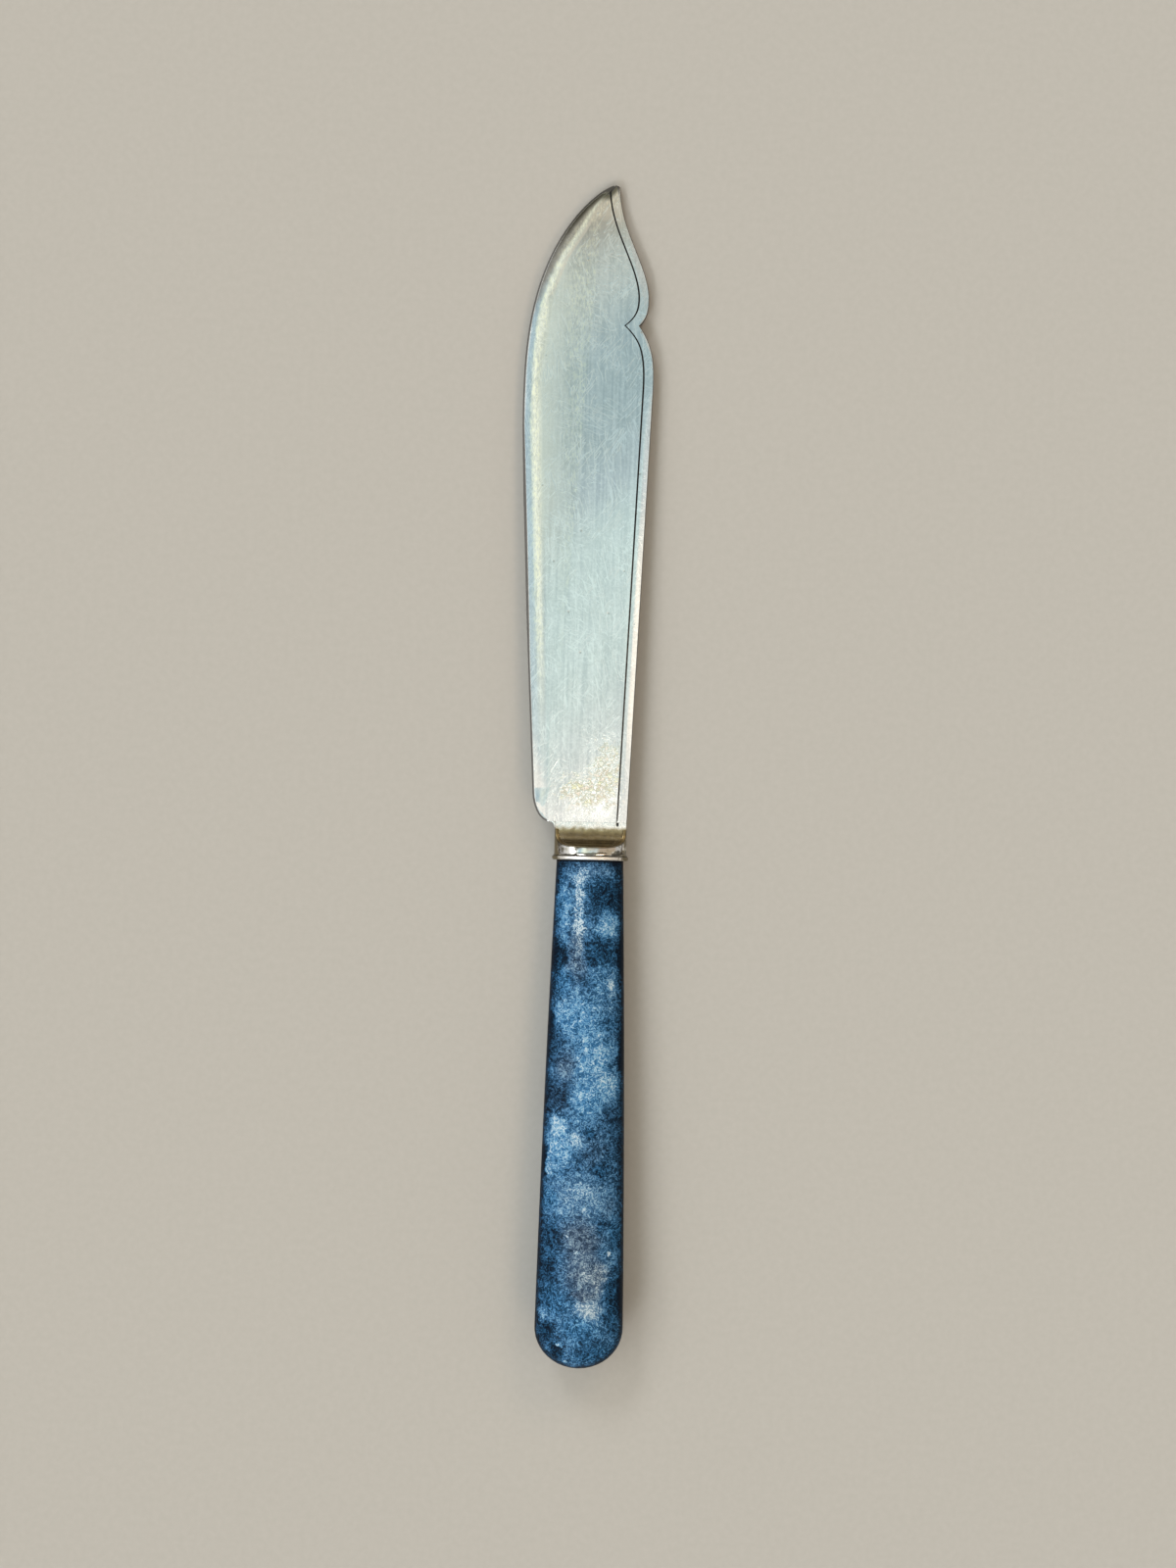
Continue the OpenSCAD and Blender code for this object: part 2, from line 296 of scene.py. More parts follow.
# Beside the ground band, which turns in towards the tip, the face is painted lighter: a painted sheen that
# carries the band's bright reflection into the face.
EDGE_AT, TURNS_AT, TURN = 13.5, 88.0, 0.013
rim = put(tree, "Attribute", attribute_name="from_edge").outputs["Fac"]
past_turn = larger(tree, minus(tree, lengthwise, TURNS_AT), 0.0)
inwards = reckon(tree, "MULTIPLY_ADD", times(tree, past_turn, past_turn), -TURN,
                 plus(tree, across, EDGE_AT))
sheen_beside_band = times(tree, between(tree, inwards, 10.5, 3.0), between(tree, rim, 2.3, 3.1),
                between(tree, lengthwise, 46, 66), between(tree, lengthwise, 109, 103))
tone = laid_over(tree, times(tree, sheen_beside_band, 0.5), tone, PAINTED_SHEEN_BY_BAND)
# The reverse has a greyer, darker skin: partly because it has been polished less often, partly a darkening
# put there so that it throws less light into the shade under the blade.
on_reverse = between(tree, up, REVERSE_UP + 0.25, REVERSE_UP + 0.1, 0.0, 0.85)
tone = laid_over(tree, on_reverse, tone, GREY_REVERSE)
# Near the bolster, an etched patch of crust with dark veins. The veins and the relief are the etching; its
# white, yellow and pink cells are painted glints of the overhead light, partly tinted as tarnish.
LOW_PATCH, HIGH_PATCH = (-0.8, 12.0, 5.2, 3.4), (2.4, 15.6, 2.5, 5.4)
SCAB_SCALE, SCAB_BEND, VEINS = 1.5, 1.7, (0.45, 0.41, 0.28)
frayed = times(tree, minus(tree, grain(tree, knife, 0.9, 3.0, 0.6), 0.5), 2.4)
patch = reckon(tree, "MINIMUM", around(tree, across, lengthwise, *LOW_PATCH),
               around(tree, across, lengthwise, *HIGH_PATCH))
etch_and_glints = between(tree, plus(tree, patch, frayed), 1.1, 0.5)
bent = tree.nodes.new("ShaderNodeVectorMath")
bent.operation = "MULTIPLY_ADD"
tree.links.new(put(tree, "TexNoise", Vector=knife, Scale=1.1, Detail=2.0).outputs["Color"], bent.inputs[0])
bent.inputs[1].default_value = (SCAB_BEND, SCAB_BEND, SCAB_BEND)
tree.links.new(knife, bent.inputs[2])
scabs = put(tree, "TexVoronoi", feature="DISTANCE_TO_EDGE", Vector=bent.outputs[0],
            Scale=SCAB_SCALE).outputs["Distance"]
scab_colour = put(tree, "TexVoronoi", Vector=bent.outputs[0], Scale=SCAB_SCALE).outputs["Color"]
scab_kind = put(tree, "SeparateXYZ", Vector=scab_colour).outputs[0]
glint_and_tarnish_tones = shades(
    tree, scab_kind,
    (0.1, (0.99, 0.98, 0.93)), (0.45, (1.0, 0.99, 0.96)), (0.6, (0.97, 0.9, 0.6)),
    (0.7, (0.99, 0.98, 0.94)), (0.92, (0.97, 0.82, 0.70)))
tone = laid_over(tree, times(tree, etch_and_glints, 0.85), tone, glint_and_tarnish_tones)
tone = laid_over(tree, times(tree, etch_and_glints, between(tree, scabs, 0.15, 0.02, 0.0, 0.65)), tone, VEINS)
# Scratches show bright, and a few small pits dark.
SCRATCH, PIT = (0.97, 0.97, 0.95), (0.36, 0.35, 0.32)
tone = laid_over(tree, times(tree, scratched, 0.75), tone, SCRATCH)
pits = put(tree, "TexVoronoi", Vector=knife, Scale=0.42, Randomness=1.0)
pit = times(tree, between(tree, pits.outputs["Distance"], 0.05, 0.12, 1.0, 0.0),
            between(tree, put(tree, "SeparateXYZ", Vector=pits.outputs["Color"]).outputs[0], 0.66, 0.72))
tone = laid_over(tree, times(tree, pit, 0.5), tone, PIT)
# The ground band is mottled. Along the very rim of the outline and the back a dark painted shade stands in
# for the shadow there, and along the tip the band carries a dark grey painted reflection of the dark room.
BAND_DARK, BAND_BRIGHT = (0.56, 0.56, 0.47), (0.98, 0.95, 0.80)
PAINTED_TIP_REFLECTION, PAINTED_RIM_SHADE = (0.14, 0.135, 0.095), (0.06, 0.058, 0.055)
ground = times(tree, between(tree, rim, 0.6, 1.2), between(tree, rim, 3.15, 2.3),
               between(tree, lengthwise, 22, 45))
mottle = grain(tree, along_knife(tree, 0, (0.35, 0.9, 1)), 1.0, 3.0, 0.65)
tone = laid_over(tree, times(tree, ground, between(tree, mottle, 0.48, 0.34, 0.0, 0.4)), tone, BAND_DARK)
tone = laid_over(tree, times(tree, ground, between(tree, mottle, 0.48, 0.62, 0.0, 0.7)), tone, BAND_BRIGHT)
# Along the tip the ground band is painted dark grey: a painted reflection of the dark wall beyond the tip.
tip_reflection = times(tree, between(tree, lengthwise, 102, 113), between(tree, rim, 1.4, 0.5))
tone = laid_over(tree, times(tree, tip_reflection, 0.9), tone, PAINTED_TIP_REFLECTION)
back_rim = put(tree, "Attribute", attribute_name="from_back").outputs["Fac"]
rim_shade = larger(tree, between(tree, rim, 0.42, 0.24), between(tree, back_rim, 0.16, 0.06))
tone = laid_over(tree, times(tree, rim_shade, 0.9), tone, PAINTED_RIM_SHADE)
tree.links.new(tone, shader.inputs["Base Color"])
# The painted rim shade also takes the metal and most of the shine off the rim.
tree.links.new(reckon(tree, "MULTIPLY_ADD", rim_shade, -0.9, 1.0), shader.inputs["Metallic"])
tree.links.new(reckon(tree, "MULTIPLY_ADD", rim_shade, -0.45, 0.5), shader.inputs["Specular IOR Level"])
polished = times(tree, between(tree, brushed, 0.35, 0.65, 0.035, 0.065),
                 between(tree, lengthwise, 96, 106, 1.0, 0.6))
tree.links.new(larger(tree, polished, times(tree, rim_shade, 0.8)), shader.inputs["Roughness"])
# Heights in millimetres. The strip between the line and the back is rubbed a little hollow.
LINE_AT, LINE_LEAN, NECK_FRONT = 4.9, 0.0366, 6.6
relief = plus(tree, times(tree, brushed, 0.0005), times(tree, clouds, 0.003))
relief = minus(tree, relief, times(tree, scratched, 0.0008), times(tree, pit, 0.004))
relief = plus(tree, relief, times(tree, etch_and_glints, reckon(tree, "MINIMUM", scabs, 0.3), 0.013))
line_place = plus(tree, times(tree, lengthwise, LINE_LEAN), LINE_AT - NECK_FRONT * LINE_LEAN)
beyond = larger(tree, minus(tree, across, line_place), 0.0)
rubbed = times(tree, beyond, beyond, between(tree, lengthwise, 84, 72))
raised(tree, shader, minus(tree, relief, times(tree, rubbed, 0.026)))

# The line holds old polish, and is worn paler towards the bolster.
tree, shader = finish_named("line_dirt", blade)
soot = grain(tree, along_knife(tree), 1.5, 3.0)
worn = between(tree, put(tree, "SeparateXYZ", Vector=along_knife(tree)).outputs[1], 62, 38)
black = shades(tree, soot, (0.35, (0.003, 0.003, 0.003)), (0.7, (0.014, 0.013, 0.012)))
paler = shades(tree, soot, (0.35, (0.03, 0.026, 0.02)), (0.7, (0.10, 0.092, 0.08)))
tree.links.new(laid_over(tree, worn, black, paler), shader.inputs["Base Color"])
shader.inputs["Roughness"].default_value = 0.6

# Bolster: the cast silver neck between blade and handle, hollowed by one scoop on each face.
# The blade's tongue is soldered into its slot, and the line of the blade runs out on it.


def soft_arrises(piece, width):
    """Breaks the sharp edges as a polishing wheel does, and shades the rest smooth."""
    apply_modifier(piece, "BEVEL", width=width, segments=2, limit_method="ANGLE",
                   angle_limit=math.radians(40), use_clamp_overlap=False)
    bpy.ops.object.shade_smooth_by_angle(angle=math.radians(SMOOTH_TO))
    apply_modifier(piece, "WEIGHTED_NORMAL", keep_sharp=True)


bolster = dressed_copy("bolster", "bolster_neck", flat_within=0.2, joined_within=2e-5)
soft_arrises(bolster, 0.00004)

BRIGHT_NECK, GREY_NECK = (0.90, 0.90, 0.88), (0.84, 0.83, 0.79)
DEEP_BROWN, NECK_SCRATCH, LINE_BLACK = (0.11, 0.08, 0.03), (0.42, 0.38, 0.3), (0.012, 0.011, 0.01)
LINE_END = (4.6, 6.35, 0.22, 0.45)
tree, shader = finish_named("scooped_silver", bolster)
knife = along_knife(tree)
across, lengthwise, up = put(tree, "SeparateXYZ", Vector=knife).outputs
brushed, clouds, scratched = wear(tree)
smudge = grain(tree, knife, 0.8, 4.0, 0.6)
tone = laid_over(tree, between(tree, clouds, 0.4, 0.65), BRIGHT_NECK, GREY_NECK)
# The hollow has never been polished out: smoky brown, darkest at its foot.
smoky = between(tree, reckon(tree, "MULTIPLY_ADD", smudge, 1.6, lengthwise), 6.9, 5.9)
browns = shades(tree, smudge, (0.35, (0.23, 0.165, 0.06)), (0.65, (0.44, 0.34, 0.155)))
tone = laid_over(tree, times(tree, smoky, 0.9), tone, browns)
tone = laid_over(tree, between(tree, lengthwise, 5.2, 3.9, 0.0, 0.5), tone, DEEP_BROWN)
tone = laid_over(tree, times(tree, scratched, 0.3), tone, NECK_SCRATCH)
line_end = between(tree, around(tree, across, lengthwise, *LINE_END), 1.2, 0.9)
tone = laid_over(tree, times(tree, line_end, 0.92), tone, LINE_BLACK)
tree.links.new(tone, shader.inputs["Base Color"])
shader.inputs["Metallic"].default_value = 1.0
tree.links.new(between(tree, lengthwise, 5.2, 6.0, 0.24, 0.06), shader.inputs["Roughness"])
raised(tree, shader, plus(tree, times(tree, smudge, 0.02), times(tree, scratched, -0.0012)))

# Tang: a tapered iron spike, forged round and left rough from the fire.
# It is soldered into the back of the bolster, and the handle hides the rest of it.

tang = dressed_copy("tang", "tang_spike", flat_within=0.1)
bpy.ops.object.shade_smooth_by_angle(angle=math.radians(40))

tree, shader = finish_named("forged_iron", tang)
scale_marks = grain(tree, along_knife(tree, 0, (1, 5, 1)), 1.4, 4.0, 0.65)
irons = shades(
    tree, scale_marks,
    (0.3, (0.10, 0.09, 0.09)), (0.55, (0.22, 0.21, 0.21)), (0.75, (0.25, 0.17, 0.11)))
tree.links.new(irons, shader.inputs["Base Color"])
shader.inputs["Metallic"].default_value = 0.85
tree.links.new(between(tree, scale_marks, 0.3, 0.7, 0.45, 0.75), shader.inputs["Roughness"])
raised(tree, shader, scale_marks, strength=0.6, distance=0.00005)

# Ferrule: a thin silver collar, drawn to an oval and flared to a lip over a small cove.
# It is pushed over the neck and the end of the handle, and is a little dented and tarnished.

ferrule = dressed_copy("ferrule", "collar_band", flat_within=0.2, joined_within=3e-5)
soft_arrises(ferrule, 0.00003)

BRIGHT_BAND, GREY_BAND, RUBBED_LIP = (0.92, 0.91, 0.88), (0.74, 0.72, 0.63), (0.97, 0.95, 0.91)
tree, shader = finish_named("collar_silver", ferrule)
knife = along_knife(tree)
across, lengthwise, up = put(tree, "SeparateXYZ", Vector=knife).outputs
smudge = grain(tree, knife, 0.7, 4.0, 0.6)
spread = times(tree, minus(tree, smudge, 0.5), 5.0)
on_lip = between(tree, lengthwise, 0.85, 0.6)
tone = laid_over(tree, between(tree, smudge, 0.45, 0.65), BRIGHT_BAND, GREY_BAND)
tone = laid_over(tree, times(tree, on_lip, 0.8), tone, RUBBED_LIP)
# Tarnish has stayed in a patch by the back, in a streak and in the cove. Both narrow sides are painted dark
# brown: a painted reflection of the dim room that their turned-away silver mirrors.
PAINTED_SIDE_REFLECTION, BACK_PATCH_BROWN = (0.17, 0.135, 0.07), (0.085, 0.075, 0.05)
STREAK_BROWN, COVE_BROWN = (0.17, 0.165, 0.12), (0.07, 0.06, 0.04)
off_middle = either_way(tree, minus(tree, across, 0.3))
sides = between(tree, plus(tree, off_middle, spread), 4.7, 5.7)
tone = laid_over(tree, times(tree, sides, 0.92), tone, PAINTED_SIDE_REFLECTION)
back_patch = around(tree, across, lengthwise, 4.6, 1.2, 1.2, 0.5)
by_back = between(tree, plus(tree, back_patch, spread), 1.2, 0.6)
tone = laid_over(tree, times(tree, by_back, 0.9), tone, BACK_PATCH_BROWN)
streak_lean = reckon(tree, "MULTIPLY_ADD", across, -0.05, lengthwise)
streak = around(tree, across, streak_lean, 0.2, 1.1, 4.2, 0.22)
streak = between(tree, plus(tree, streak, times(tree, spread, 0.8)), 1.1, 0.5)
tone = laid_over(tree, times(tree, streak, 0.8), tone, STREAK_BROWN)
in_cove = around(tree, 0.0, lengthwise, 0.0, 0.72, 1.0, 0.16)
tone = laid_over(tree, between(tree, in_cove, 1.1, 0.5, 0.0, 0.9), tone, COVE_BROWN)
# The scoop's cut face is brown, with a thin dark line along it.
SCOOP_Y, SCOOP_UP, SCOOP_R = 5.3, 4.0, 3.05
CUT_BROWN, CUT_LINE = (0.24, 0.18, 0.085), (0.05, 0.042, 0.025)
from_scoop = around(tree, lengthwise, either_way(tree, up), SCOOP_Y, SCOOP_UP, 1.0, 1.0)
from_scoop = minus(tree, from_scoop, SCOOP_R)
tone = laid_over(tree, between(tree, from_scoop, 0.06, 0.03, 0.0, 0.95), tone, CUT_BROWN)
edge_line = times(tree, between(tree, from_scoop, 0.03, 0.06), between(tree, from_scoop, 0.22, 0.12))
tone = laid_over(tree, times(tree, edge_line, 0.9), tone, CUT_LINE)
tree.links.new(tone, shader.inputs["Base Color"])
shader.inputs["Metallic"].default_value = 1.0
dulled = larger(tree, between(tree, smudge, 0.3, 0.7, 0.06, 0.13), times(tree, on_lip, 0.42))
dulled = larger(tree, dulled, between(tree, from_scoop, 0.06, 0.03, 0.0, 0.35))
tree.links.new(dulled, shader.inputs["Roughness"])
dents = grain(tree, knife, 0.55, 1.0)
raised(tree, shader, times(tree, dents, 0.018))

# Cement: the pale filler round the tang, made of resin and chalk.
# It was poured hot into the handle's bore, and holds the tang when set.

cement = dressed_copy("tang_cement", "tang_filler", flat_within=0.1)
bpy.ops.object.shade_smooth_by_angle(angle=math.radians(40))

tree, shader = finish_named("pale_filler", cement)
crumb = grain(tree, along_knife(tree), 2.5, 5.0, 0.7)
chalks = shades(tree, crumb, (0.3, (0.42, 0.34, 0.23)), (0.7, (0.6, 0.53, 0.41)))
tree.links.new(chalks, shader.inputs["Base Color"])
tree.links.new(between(tree, crumb, 0.3, 0.7, 0.8, 0.95), shader.inputs["Roughness"])
raised(tree, shader, crumb, strength=0.7, distance=0.0001)

# Handle: one solid mottled blue piece, oval in section, widening to a rounded butt.
# Its front end is turned down a little to fit inside the collar, and it has a satin varnish.

handle = dressed_copy("handle", "handle_grip", flat_within=0.05)
bpy.ops.object.mode_set(mode="EDIT")
bpy.ops.mesh.select_all(action="SELECT")
bpy.ops.mesh.tris_convert_to_quads(face_threshold=math.radians(30), shape_threshold=math.radians(60))
bpy.ops.object.mode_set(mode="OBJECT")
bpy.ops.object.shade_smooth_by_angle(angle=math.radians(40))

# Blotches by place along the knife: across, lengthwise, half width, half length, lightness, greyness.
BLOTCHES = (
    (0.6, -1.4, 4.4, 2.0, 0.62, 0.4), (-4.5, -8, 1.5, 5.8, 0.72, 0), (2.8, -6.2, 3.0, 3.6, 0.16, 0),
    (3.6, -11.3, 2.3, 2.5, 0.84, 0), (2.4, -15.8, 3.6, 3.0, 0.22, 0), (-4.8, -16.8, 1.8, 2.8, 0.12, 0),
    (-1.8, -16.0, 1.6, 5.2, 0.5, 0.8), (6.0, -17, 1.0, 4.2, 0.04, 0), (3.0, -21, 2.6, 3.6, 0.56, 0.1),
    (4.2, -21.8, 0.8, 2.0, 0.86, 0.3), (-4.2, -21, 2.2, 2.6, 0.46, 0), (-1.6, -27, 4.4, 3.8, 0.72, 0),
    (-6.3, -28, 0.9, 2.4, 0.12, 0), (3.8, -28, 2.4, 2.2, 0.42, 0.1), (1.4, -33.5, 3.6, 5.4, 0.76, 0),
    (-5.4, -32, 1.7, 4.0, 0.3, 0.2), (-3.2, -35.5, 2.0, 3.0, 0.5, 0.7), (-4.4, -40.8, 2.6, 2.8, 0.2, 0.4),
    (6.3, -32.5, 0.9, 4.2, 0.05, 0), (4.4, -38.8, 1.8, 2.6, 0.88, 0), (0.4, -41, 3.0, 3.8, 0.72, 0),
    (4.8, -44, 1.9, 2.6, 0.34, 0.2), (-4.2, -48.8, 2.5, 5.2, 0.78, 0), (-4.7, -45.8, 1.6, 1.9, 0.9, 0.1),
    (-1.0, -48, 1.3, 1.8, 0.95, 0.3), (1.8, -49.6, 2.5, 4.2, 0.42, 0.4), (3.0, -53, 1.5, 1.6, 0.24, 0),
    (0.9, -46.7, 1.1, 1.1, 0.22, 0), (5.4, -50, 1.4, 4.6, 0.32, 0.2), (-6.7, -51.8, 0.7, 2.8, 0.03, 0),
    (-5.7, -52.6, 0.5, 2.0, 0.95, 0.1), (-0.2, -57.6, 5.2, 3.8, 0.71, 0.4), (-5.6, -58, 1.6, 2.0, 0.52, 0),
    (4.8, -59.5, 1.6, 2.6, 0.5, 0.4), (0, -64.6, 3.8, 4.0, 0.5, 1), (-5.2, -64.5, 2.1, 3.2, 0.22, 0.1),
    (3.4, -62.6, 1.2, 1.6, 0.24, 0.1), (6.0, -64, 1.1, 3.2, 0.46, 0), (0.8, -70.5, 3.9, 4.2, 0.6, 1),
    (-5.3, -70, 2.0, 4.2, 0.18, 0.1), (3.2, -71.5, 1.5, 2.6, 0.7, 1), (1.0, -74.2, 2.8, 1.3, 0.5, 1),
    (1.4, -76.8, 2.4, 2.3, 0.96, 0.8), (-4.4, -75.4, 2.6, 3.0, 0.4, 0), (0, -80, 3.4, 2.6, 0.52, 0),
    (-5.5, -80.8, 1.3, 1.8, 0.06, 0), (-3.7, -83.6, 1.4, 1.8, 0.06, 0), (-6.3, -82.2, 0.8, 1.2, 0.3, 0.3),
    (2.4, -84, 3.8, 2.4, 0.36, 0), (5.8, -75, 1.5, 6, 0.2, 0), (7.1, -74.5, 0.7, 4.0, 0.03, 0),
    (-6.3, -77.5, 0.7, 1.0, 0.8, 0.2), (-2.1, -85.8, 0.5, 0.5, 0.95, 0), (-3.2, -82.8, 0.4, 0.6, 0.9, 0),
    # The first three blotches on the next line lie along the painted highlight below the collar, and are
    # pale and grey for it.
    (-1.2, -2.8, 1.5, 1.6, 0.75, 0.4), (-1.7, -6, 0.65, 2.0, 0.7, 0.4), (-2, -10.8, 0.6, 2.1, 0.7, 0.4),
    (-0.6, -66.9, 0.35, 0.35, 1.2, 0.5), (5.2, -67, 0.38, 0.38, 1.2, 0.5),
    (-2.3, -64.6, 0.28, 0.28, 1.1, 0.5),
)


def blended(tree, share, under, over):
    """One value over another, by a share."""
    made = tree.nodes.new("ShaderNodeMix")
    tree.links.new(share, made.inputs[0])
    for at, term in ((2, under), (3, over)):
        if isinstance(term, bpy.types.NodeSocket):
            tree.links.new(term, made.inputs[at])
        else:
            made.inputs[at].default_value = term
    return made.outputs[0]


def curled_fibres(tree, scale, curl):
    crossing = minus(tree, grain(tree, along_knife(tree), scale, 1.0, 0.5, curl), 0.5)
    return between(tree, either_way(tree, crossing), 0.0, 0.11, 1.0, 0.0)


STRAY, PLAIN_LIGHTNESS, PLAIN_GREYNESS = 3.2, 0.49, 0.2
tree, shader = finish_named("mottled_blue", handle)
knife = along_knife(tree)
across, lengthwise, up = put(tree, "SeparateXYZ", Vector=knife).outputs
ragged = put(tree, "TexNoise", Vector=knife, Scale=0.45, Detail=5.0, Roughness=0.6)
strays = put(tree, "SeparateXYZ", Vector=ragged.outputs["Color"]).outputs
strayed_across = reckon(tree, "MULTIPLY_ADD", minus(tree, strays[0], 0.5), STRAY, across)
strayed_along = reckon(tree, "MULTIPLY_ADD", minus(tree, strays[1], 0.5), STRAY, lengthwise)
light, grey = PLAIN_LIGHTNESS, PLAIN_GREYNESS
for x, y, wide, long, lightness, greyness in BLOTCHES:
    reach = around(tree, strayed_across, strayed_along, x, y, wide, long)
    share = between(tree, reach, 0.3, 1.35, 0.85, 0.0)
    light = blended(tree, share, light, lightness)
    grey = blended(tree, share, grey, greyness)
# The dye has run: cloudy drifts at all sizes under a felt of short curled fibres.
drifts = grain(tree, knife, 0.6, 6.0, 0.66, 0.3)
fibres = reckon(tree, "MULTIPLY_ADD", curled_fibres(tree, 1.15, 1.2), 0.6,
                times(tree, curled_fibres(tree, 2.1, 1.0), 0.4))
light = reckon(tree, "MULTIPLY_ADD", minus(tree, drifts, 0.5), 0.8, light)
light = reckon(tree, "MULTIPLY_ADD", minus(tree, fibres, 0.42), 0.54, light)
# A pale streak runs down from the collar: a painted highlight, broken up by the fibres.
streak = between(tree, around(tree, strayed_across, lengthwise, -1.6, -9, 1.1, 9.5), 1.2, 0.1)
painted_highlight = times(tree, streak, reckon(tree, "MULTIPLY_ADD", fibres, 0.45, 0.13))
light = plus(tree, painted_highlight, light)
# The narrow sides are painted darker as shade where they turn away from the light, a little less on the
# left, and the end next to the collar is painted darker as the shadow under its lip.
side = plus(tree, either_way(tree, up), between(tree, across, -1.0, 1.0, 0.12, 0.0))
light = minus(tree, light, between(tree, side, 2.8, 0.9, 0.0, 0.44),
              between(tree, lengthwise, -2.4, -0.4, 0.0, 0.22))
blues = shades(
    tree, light,
    (0.0, (0.002, 0.007, 0.017)), (0.18, (0.005, 0.024, 0.052)), (0.36, (0.0125, 0.064, 0.14)),
    (0.52, (0.031, 0.135, 0.30)), (0.68, (0.078, 0.25, 0.49)), (0.84, (0.175, 0.395, 0.58)),
    (1.0, (0.50, 0.63, 0.72)))
greys = shades(
    tree, light,
    (0.0, (0.004, 0.008, 0.0144)), (0.25, (0.0175, 0.031, 0.058)), (0.45, (0.055, 0.091, 0.155)),
    (0.62, (0.115, 0.17, 0.24)), (0.8, (0.24, 0.328, 0.385)), (1.0, (0.58, 0.65, 0.70)))
PAINTED_COLLAR_SHADOW = (0.003, 0.004, 0.008)
tone = laid_over(tree, grey, blues, greys)
# The end inside the collar's lip is painted near-black as the collar's shadow.
tone = laid_over(tree, between(tree, lengthwise, -0.5, -0.15), tone, PAINTED_COLLAR_SHADOW)
tree.links.new(tone, shader.inputs["Base Color"])
tree.links.new(between(tree, fibres, 0.2, 0.8, 0.40, 0.52), shader.inputs["Roughness"])
shader.inputs["Specular IOR Level"].default_value = 0.06
raised(tree, shader, fibres, strength=0.4, distance=0.00004)

# Table top: a plain sheet of warm grey paper, far larger than the knife.
# The knife lies loose on it and is seen from straight above.

SHEET_SIZE = 4
bpy.ops.object.select_all(action="DESELECT")
bpy.ops.mesh.primitive_plane_add(size=SHEET_SIZE, location=(0, 0, 0))
table = bpy.context.object
table.name = "table_top"

tree, shader = finish_named("warm_grey_sheet", table)
fibre = grain(tree, put(tree, "TexCoord").outputs["Object"], 900, 2.0)
papers = shades(tree, fibre, (0.3, (0.455, 0.441, 0.410)), (0.7, (0.473, 0.459, 0.428)))
tree.links.new(papers, shader.inputs["Base Color"])
shader.inputs["Roughness"].default_value = 0.85
shader.inputs["Specular IOR Level"].default_value = 0.2

# Room: ceiling, walls, window and cards round the table. They light the knife, and its silver mirrors them.
# A direction is named by slope_e and slope_n: how far it leans east or north from straight up.

world = bpy.data.worlds.new("studio")
bpy.context.scene.world = world
world.use_nodes = True
tree = world.node_tree
backdrop = tree.nodes["Background"]
east, north, high = put(tree, "SeparateXYZ", Vector=put(tree, "TexCoord").outputs["Generated"]).outputs
above = larger(tree, high, 0.05)
slope_n = reckon(tree, "DIVIDE", north, above)
slope_e = reckon(tree, "DIVIDE", east, above)
west = times(tree, slope_e, -1.0)


def spaced(value, low, high_end):
    """Rises evenly from 0 to 1 while the value goes from low to high_end."""
    made = put(tree, "MapRange", Value=value, To_Min=0.0, To_Max=1.0)
    made.inputs["From Min"].default_value = low
    made.inputs["From Max"].default_value = high_end
    return made.outputs[0]


def slot_of(value, opens, opened, closes, closed):
    """Rises from opens to opened, and falls again between closes and closed."""
    return times(tree, between(tree, value, opens, opened), between(tree, value, closed, closes))


# Ceiling: pale and greenish over the handle, then a slanting step to a bluish grey. Its west side is
# creamier, which the face shows beside the ground band.
CEILING_SLANT, CREAM = -0.62, (0.66, 0.74, 0.66)
slant = plus(tree, slope_n, times(tree, slope_e, CEILING_SLANT))
ceiling = shades(
    tree, spaced(slant, 0.0, 0.3),
    (0.0, (0.86, 0.90, 0.86)), (0.25, (0.83, 0.90, 0.86)), (0.33, (0.75, 0.89, 0.85)),
    (0.505, (0.70, 0.87, 0.85)), (0.545, (0.55, 0.68, 0.71)), (0.62, (0.43, 0.565, 0.585)),
    (0.72, (0.44, 0.575, 0.60)), (0.79, (0.62, 0.71, 0.67)), (0.835, (0.55, 0.60, 0.55)),
    (0.868, (0.44, 0.45, 0.41)))
creamy = times(tree, between(tree, slope_n, 0.12, 0.155), between(tree, west, 0.004, 0.022, 0.0, 0.75))
ceiling = laid_over(tree, creamy, ceiling, CREAM)
# Wall to the north: beige, darker with its distance, with a pale card low down for views from the handle.
WALL_NEAREST, NORTH_CARD = 0.25, (0.56, 0.56, 0.54)
north_off = minus(tree, slope_n, WALL_NEAREST)
away = reckon(tree, "SQRT", plus(tree, times(tree, slope_e, slope_e), times(tree, north_off, north_off)))
far_wall = shades(
    tree, spaced(away, 0.0, 1.6),
    (0.0, (0.67, 0.645, 0.555)), (0.05, (0.64, 0.615, 0.53)), (0.13, (0.47, 0.465, 0.41)),
    (0.30, (0.40, 0.395, 0.35)), (0.38, (0.28, 0.27, 0.24)), (0.46, (0.16, 0.15, 0.12)),
    (0.6, (0.10, 0.085, 0.06)), (1.0, (0.07, 0.055, 0.04)))
surround = laid_over(tree, spaced(slope_n, 0.258, 0.264), ceiling, far_wall)
north_card = between(tree, around(tree, slope_e, slope_n, 0.0, 2.0, 0.6, 0.95), 1.1, 0.8)
surround = laid_over(tree, north_card, surround, NORTH_CARD)
# Dark room to the south, with a long pale card.
SOUTH_ROOM, SOUTH_CARD = (0.06, 0.055, 0.05), (0.95, 0.93, 0.90)
surround = laid_over(tree, between(tree, slope_n, -0.03, -0.2), surround, SOUTH_ROOM)
south_card = between(tree, around(tree, slope_e, slope_n, 0.0, -1.5, 0.3, 1.42), 1.1, 0.8)
surround = laid_over(tree, south_card, surround, SOUTH_CARD)
